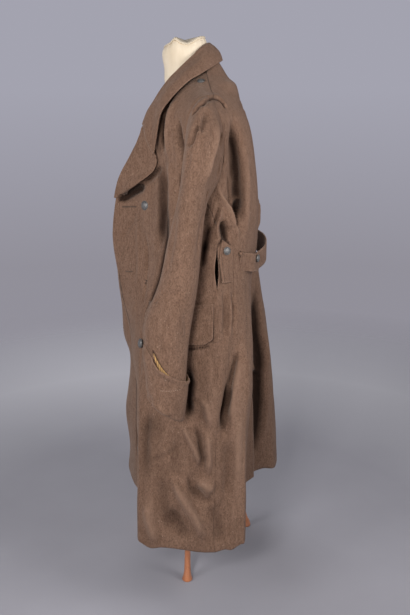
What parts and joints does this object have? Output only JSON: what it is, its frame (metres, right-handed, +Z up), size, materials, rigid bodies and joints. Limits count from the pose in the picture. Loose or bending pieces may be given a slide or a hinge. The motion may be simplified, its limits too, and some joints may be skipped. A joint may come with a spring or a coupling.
{
  "type": "greatcoat on a dress form",
  "caption": "Long double-breasted wool greatcoat with wide collar, turn-back cuffs, flap pockets and a buttoned half belt, hanging open on a linen dress form with a wooden tripod stand.",
  "frame": {"origin": "on the floor under the middle of the object's bounding box", "axes": "+Z up, the coat's front faces -Y, the wearer's left side is +X"},
  "size_m": [0.7636, 0.4859, 1.4953],
  "materials": {
    "coat_wool": "matt, thick fulled wool",
    "button_horn": "dull horn-like",
    "form_linen": "matt, smooth linen cover",
    "stand_wood": "glossy varnish"
  },
  "bodies": {
    "root": {"belt_button": "button_horn", "collar": "coat_wool", "form_cap": "form_linen", "form_hub": "stand_wood", "form_leg_front": "stand_wood", "form_leg_left": "stand_wood", "form_leg_rear": "stand_wood", "form_pole": "stand_wood", "form_torso": "form_linen", "left_back": "coat_wool", "left_belt": "coat_wool", "left_button_lower": "button_horn", "left_button_upper": "button_horn", "left_cuff": "coat_wool", "left_flap": "coat_wool", "left_front": "coat_wool", "left_lapel": "coat_wool", "left_shoulder_button": "button_horn", "left_tab": "coat_wool", "left_tab_button": "button_horn", "left_top_sleeve": "coat_wool", "left_under_sleeve": "coat_wool", "right_back": "coat_wool", "right_belt": "coat_wool", "right_button_lower": "button_horn", "right_button_middle": "button_horn", "right_button_upper": "button_horn", "right_cuff": "coat_wool", "right_flap": "coat_wool", "right_front": "coat_wool", "right_lapel": "coat_wool", "right_shoulder_button": "button_horn", "right_tab": "coat_wool", "right_tab_button": "button_horn", "right_top_sleeve": "coat_wool", "right_under_sleeve": "coat_wool"}
  },
  "joints": []
}
